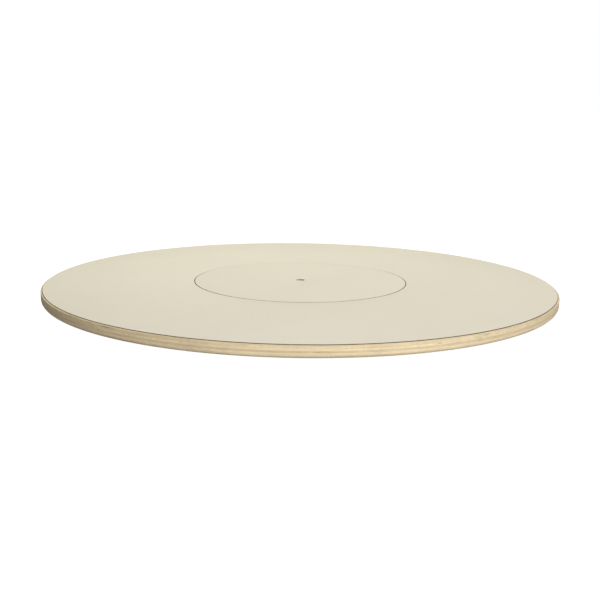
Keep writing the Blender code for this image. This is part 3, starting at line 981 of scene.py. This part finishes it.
def make_screws(name, nodes, head_radius, shank_radius, length, pan, upwards):
    if pan:
        size = PAN_ROUND * head_radius
        dome = arc(head_radius - size, -size, size, 90, 0, 6)
        head = [(0, 0), *dome, (head_radius, -PAN_HEIGHT)]
        neck = -PAN_HEIGHT
    else:
        head = [(0, 0), (head_radius - HEAD_LAND, 0), (head_radius, -HEAD_LAND)]
        neck = shank_radius - head_radius - HEAD_LAND
    shank, depths = shank_points(shank_radius, neck, -length)
    thread = [0.0] * len(head) + depths
    screw = turned(
        name, head + shank, ZINC, SCREW_STEPS, closed=False, thread=thread, pitch=THREAD_PITCH
    )
    press_cross(screw, head_radius)
    if upwards:
        screw.data.transform(Matrix.Rotation(math.pi, 4, "X"))
    low, high = heights(nodes[0])
    return set_out(name, screw, nodes, low if upwards else high, ZINC)


turntable_screws = make_screws(
    "turntable_screws", TURNTABLE_SCREWS, SWIVEL_HEAD, SWIVEL_SHANK, SWIVEL_SCREW_LENGTH,
    pan=False, upwards=True,
)
base_ring_screws = make_screws(
    "base_ring_screws", BASE_RING_SCREWS, SWIVEL_HEAD, SWIVEL_SHANK, SWIVEL_SCREW_LENGTH,
    pan=False, upwards=False,
)
centre_screws = make_screws(
    "centre_screws", CENTRE_SCREWS, CENTRE_HEAD, CENTRE_SHANK, CENTRE_SCREW_LENGTH,
    pan=False, upwards=True,
)
foot_screws = make_screws(
    "foot_screws", FOOT_SCREWS, FOOT_HEAD, SWIVEL_SHANK, FOOT_SCREW_LENGTH,
    pan=True, upwards=True,
)
for group in (turntable_screws, base_ring_screws, centre_screws, foot_screws):
    print(group.name, len(group.data.polygons), "faces, pointing out:", faces_out(group))


# %% [markdown]
# ## Feet
# Each foot is one rubber moulding with a well in its sole, where the screw's head sits out of
# reach of the table. Moulded rubber has no sharp edges, so every corner of the profile is an arc.

# %% Mould the feet
FOOT_STEPS = 64
FOOT_WELL_RADIUS = 5.2 * MM
FOOT_WELL_DEPTH = 4.0 * MM
FOOT_SOLE_RADIUS = 11.3 * MM
SOLE_ROUND = 1.2 * MM
WELL_ROUND = 0.5 * MM


def make_feet():
    edge, tall = own_size(FEET[0])
    screw_bore = SWIVEL_SHANK + CLEAR
    profile = [
        *arc(edge - WELL_ROUND, tall - WELL_ROUND, WELL_ROUND, 90, 0, 5),
        *arc(FOOT_SOLE_RADIUS - SOLE_ROUND, SOLE_ROUND, SOLE_ROUND, 0, -90, 8),
        *arc(FOOT_WELL_RADIUS + WELL_ROUND, WELL_ROUND, WELL_ROUND, -90, -180, 5),
        (FOOT_WELL_RADIUS, FOOT_WELL_DEPTH),
        (screw_bore, FOOT_WELL_DEPTH),
        (screw_bore, tall),
    ]
    foot = turned("foot", profile, RUBBER, FOOT_STEPS)
    return set_out("feet", foot, FEET, heights(FEET[0])[0], RUBBER)


feet = make_feet()
print("feet point out:", faces_out(feet))


# %% [markdown]
# ## The base
# The base board carries everything, and nobody sees it until the turntable is lifted. Its one odd
# hole is for assembly: the ring's screws can only be driven from below, so the ring is turned until
# each screw in turn stands over that hole. The spacer is a disc of plywood as thick as the swivel
# is tall and a hair over, which brings the still disc just above the ring.

# %% Cut the base board and the spacer
BASE_STEPS = 288
BASE_ROUND = 1.0 * MM
ACCESS_HOLE_RADIUS = 12.5 * MM


def make_base_board():
    profile = [
        (0, BASE_HIGH),
        *arc(BASE_EDGE - BASE_ROUND, BASE_HIGH - BASE_ROUND, BASE_ROUND, 90, 0, 6),
        *arc(BASE_EDGE - BASE_ROUND, BASE_LOW + BASE_ROUND, BASE_ROUND, 0, -90, 6),
        (0, BASE_LOW),
    ]
    board = turned("base_board", profile, BASE_PLYWOOD, BASE_STEPS, closed=False)
    bore_through(board, BASE_RING_SCREWS, SWIVEL_SHANK)
    bore_through(board, FOOT_SCREWS, SWIVEL_SHANK)
    bore_through(board, CENTRE_SCREWS, CENTRE_SHANK)
    sink(board, CENTRE_SCREWS, BASE_LOW, CENTRE_HEAD, CENTRE_SHANK + CLEAR, upwards=True)
    access = upright(places_of(TURNTABLE_SCREWS[:1]), BASE_LOW - PAST, BASE_HIGH + PAST)
    bore(board, access, BASE_HIGH - BASE_LOW + 2 * PAST, ACCESS_HOLE_RADIUS, sides=72)
    return board


def make_spacer():
    low, high = heights("centre_spacer")
    edge = radii("centre_spacer")[1]
    profile = [(0, high), (edge, high), (edge, low), (0, low)]
    puck = turned("spacer_puck", profile, SPACER_PLYWOOD, BASE_STEPS, closed=False)
    bore_through(puck, CENTRE_SCREWS, CENTRE_SHANK)
    return puck


base_board = make_base_board()
spacer_puck = make_spacer()
print("faces point out:", faces_out(base_board), faces_out(spacer_puck))


# %% [markdown]
# ## Which body each piece rides on
# The ring, its screws and the inner race turn together. The balls and their strip go round at about
# half that speed. Everything else stands still. Each fine piece takes the place of the plain nodes
# that it was measured from.

# %% Hand over the pieces
REPLACED = 0
for piece, body, slot, nodes in (
    (plywood_ring, "turntable", "plywood", ["turntable_core"]),
    (laminate_ring, "turntable", "laminate", ["turntable_laminate"]),
    (backer_ring, "turntable", "backer", ["turntable_backer"]),
    (inner_race, "turntable", "swivel_aluminium", ["swivel_inner_ring"]),
    (outer_race, "base", "swivel_aluminium", ["swivel_outer_ring"]),
    (plywood_disc, "base", "plywood", ["centre_core"]),
    (laminate_disc, "base", "laminate", ["centre_laminate"]),
    (backer_disc, "base", "backer", ["centre_backer"]),
    (turntable_screws, "turntable", "zinc_plated_steel", TURNTABLE_SCREWS),
    (base_ring_screws, "base", "zinc_plated_steel", BASE_RING_SCREWS),
    (centre_screws, "base", "zinc_plated_steel", CENTRE_SCREWS),
    (foot_screws, "base", "zinc_plated_steel", FOOT_SCREWS),
    (feet, "base", "foot_rubber", FEET),
    (base_board, "base", "plywood", ["base_plate"]),
    (spacer_puck, "base", "plywood", ["centre_spacer"]),
    (ball_strip, "cage", "cage_nylon", ["ball_cage"]),
    (balls, "cage", "ball_steel", BALLS),
):
    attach(piece, body)
    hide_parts(*nodes)
    REPLACED += len(nodes)
print("nodes left on the packed model:", len(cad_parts) - REPLACED)


# %% [markdown]
# ## Camera, floor and light
# The camera looks down a little onto the board from 1.65 m away, so the front of the rim shows
# almost full on and the top is a thin ellipse. The floor and the sky are plain white to the eye.
# Three soft lamps light the board: a large low one in front and to the right, a smaller one high
# behind, and a faint warm one at the left, where the rim falls into shade. The lamps themselves
# don't show as glare on the satin top. It shines from the pale sky instead, which is bright in
# front and behind, and dim at the sides. From below, the floor is clear, so the feet can be seen.

# %% Camera, floor and light
TOP_CENTRE = Vector((0, 0, BOARD_TOP))
LENS = 54.25
SENSOR_WIDTH = 36
CAMERA_DISTANCE = 3.61713 * RIM
ELEVATION = math.radians(10.89)
DIP = math.radians(1.263)
ROLL = math.radians(0.805)
FLOOR_RADIUS = 60.0
FLOOR_GREY = (0.12, 0.12, 0.12)
FLOOR_ROUGHNESS = 0.9
FLOOR_GLOW = 1.0
FLOOR_FILL = 0.16
STUDIO_LEVEL = 0.12
SHEEN_LEVEL = 1.0
SIDE_SHEEN = 0.1
WARM_AIR = (1.0, 0.96, 0.76)
# Each lamp's name, its place and side in metres, its power in watts, and its colour.
LAMPS = (
    ("key", (1.55, -3.83, 1.6), 2.0, 178, (1.0, 0.99, 1.10)),
    ("overhead", (-0.3, 1.3, 2.3), 1.6, 56, (1, 1, 1)),
    ("warm_fill", (-3.0, -1.0, 0.3), 1.5, 2.5, (1.0, 0.72, 0.25)),
)


def make_camera():
    camera = bpy.data.objects.new("camera", bpy.data.cameras.new("camera"))
    bpy.context.scene.collection.objects.link(camera)
    camera.data.lens = LENS
    camera.data.sensor_width = SENSOR_WIDTH
    back = Vector((0, -math.cos(ELEVATION), math.sin(ELEVATION)))
    tilt = math.pi / 2 - ELEVATION - DIP
    turn = Matrix.Rotation(tilt, 4, "X") @ Matrix.Rotation(ROLL, 4, "Z")
    camera.matrix_world = Matrix.Translation(TOP_CENTRE + CAMERA_DISTANCE * back) @ turn
    bpy.context.scene.camera = camera


def soft_light(name, place, size, power, colour):
    light = bpy.data.objects.new(name, bpy.data.lights.new(name, "AREA"))
    bpy.context.scene.collection.objects.link(light)
    light.data.size = size
    light.data.energy = power
    light.data.color = colour
    light.visible_glossy = False
    light.location = place
    light.rotation_mode = "QUATERNION"
    light.rotation_quaternion = (TOP_CENTRE - Vector(place)).to_track_quat("-Z", "Y")


def make_floor():
    shape = bmesh.new()
    bmesh.ops.create_circle(shape, cap_ends=True, radius=FLOOR_RADIUS, segments=64)
    mesh = bpy.data.meshes.new("floor")
    shape.to_mesh(mesh)
    shape.free()
    floor = new_piece("floor", mesh)
    material, tree, shader = new_material("pale_floor", FLOOR_GREY, FLOOR_ROUGHNESS)
    seen = wire(tree, "ShaderNodeLightPath").outputs["Is Camera Ray"]
    shader.inputs["Emission Color"].default_value = (1, 1, 1, 1)
    glow = span(tree, seen, 0.0, 1.0, FLOOR_FILL, FLOOR_GLOW)
    tree.links.new(glow, shader.inputs["Emission Strength"])
    from_below = wire(tree, "ShaderNodeNewGeometry").outputs["Backfacing"]
    clear = wire(tree, "ShaderNodeBsdfTransparent").outputs[0]
    one_sided = wire(tree, "ShaderNodeMixShader", {0: from_below, 1: shader.outputs[0], 2: clear})
    tree.links.new(one_sided.outputs[0], tree.nodes["Material Output"].inputs["Surface"])
    mesh.materials.append(material)


make_camera()
make_floor()
for lamp in LAMPS:
    soft_light(*lamp)


def make_world():
    world = bpy.data.worlds.new("studio")
    bpy.context.scene.world = world
    world.use_nodes = True
    tree = world.node_tree
    seen = wire(tree, "ShaderNodeLightPath").outputs["Is Camera Ray"]
    sheen = wire(tree, "ShaderNodeLightPath").outputs["Is Glossy Ray"]
    way = wire(tree, "ShaderNodeTexCoord").outputs["Generated"]
    along = wire(tree, "ShaderNodeSeparateXYZ", {0: way}).outputs["Y"]
    gloss = span(tree, calc(tree, "MULTIPLY", along, along), 0.0, 0.8, SIDE_SHEEN, SHEEN_LEVEL)
    plain = span(tree, sheen, 0.0, 1.0, STUDIO_LEVEL, gloss)
    level = blend(tree, seen, plain, 1.0, "FLOAT")
    backdrop = tree.nodes["Background"]
    tint = blend(tree, seen, (*WARM_AIR, 1), (1, 1, 1, 1))
    tree.links.new(tint, backdrop.inputs["Color"])
    tree.links.new(level, backdrop.inputs["Strength"])


make_world()
bpy.context.scene.view_settings.view_transform = "Standard"
print(f"camera {CAMERA_DISTANCE:.2f} m away, looking down {math.degrees(ELEVATION):.1f} degrees")


# %% Finish
def corners(box):
    return [list(corner) for corner in box]
